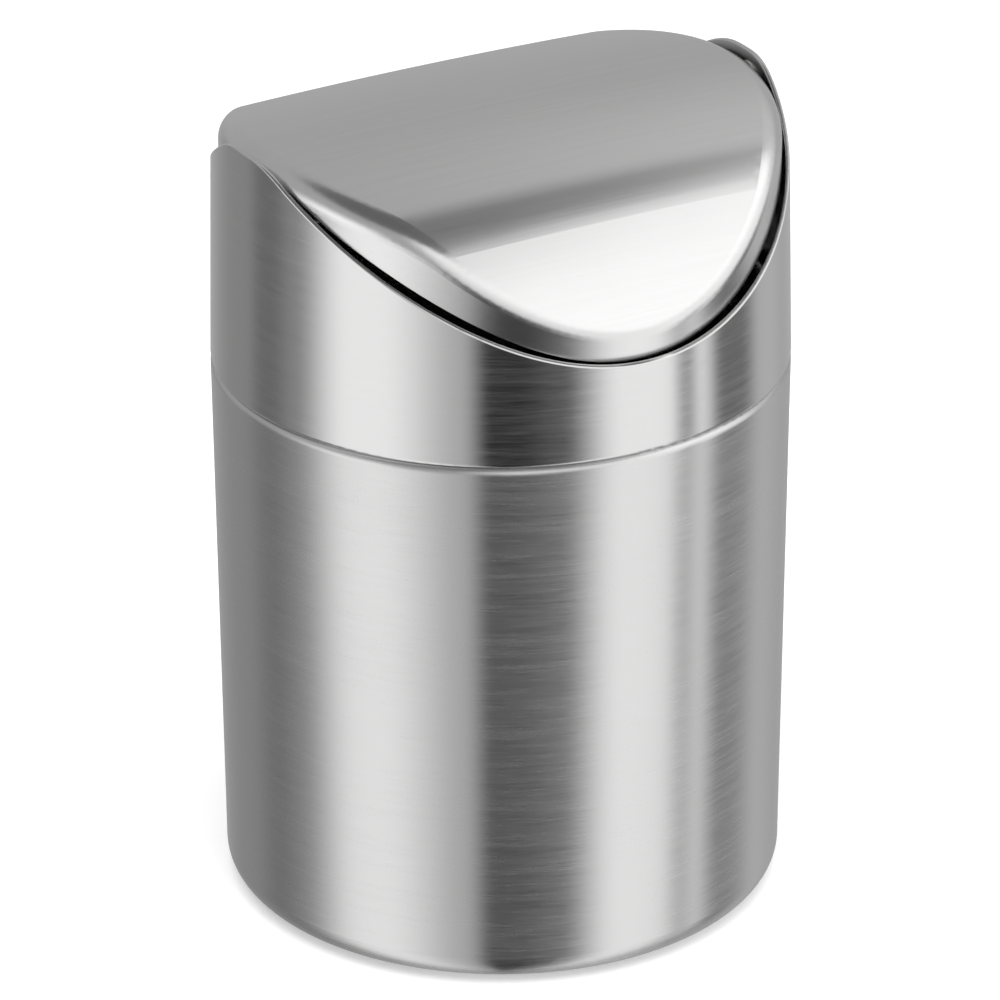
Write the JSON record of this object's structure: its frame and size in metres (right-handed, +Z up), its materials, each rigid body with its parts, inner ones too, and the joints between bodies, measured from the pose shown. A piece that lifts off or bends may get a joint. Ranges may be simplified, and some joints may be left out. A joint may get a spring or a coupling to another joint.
{
  "type": "countertop swing-lid bin",
  "caption": "Small brushed-steel table bin: a round tapered can, a lift-off collar cut to a saddle, and an arched lid that swings freely on side pivots.",
  "frame": {"origin": "on the table, on the can's axis, at the underside of the foam pad", "axes": "+Z up along the can's axis, X along the lid's pivot axis, -Y towards the front"},
  "size_m": [0.12, 0.12, 0.1744],
  "materials": {
    "can_steel": "fine brushing round the axis",
    "collar_steel": "fine brushing round the axis",
    "lid_steel": "fine brushing along the pivot axis",
    "stud_steel": "plain turned",
    "bush_nylon": "moulded, satin",
    "pad_foam": "dull foam"
  },
  "bodies": {
    "can": {"can_body": "can_steel", "base_pad": "pad_foam"},
    "collar": {"collar": "collar_steel", "pivot_stud_left": "stud_steel", "pivot_stud_right": "stud_steel"},
    "lid": {"swing_lid": "lid_steel", "pivot_bush_left": "bush_nylon", "pivot_bush_right": "bush_nylon"}
  },
  "joints": [
    {"name": "collar_lift", "type": "slide", "parent": "can", "child": "collar", "axis": [0, 0, 1], "range_m": [0, 0.03]},
    {"name": "lid_swing", "type": "hinge", "parent": "collar", "child": "lid", "pos_m": [0, 0, 0.1668], "axis": [1, 0, 0], "range_deg": [-90, 90]}
  ]
}
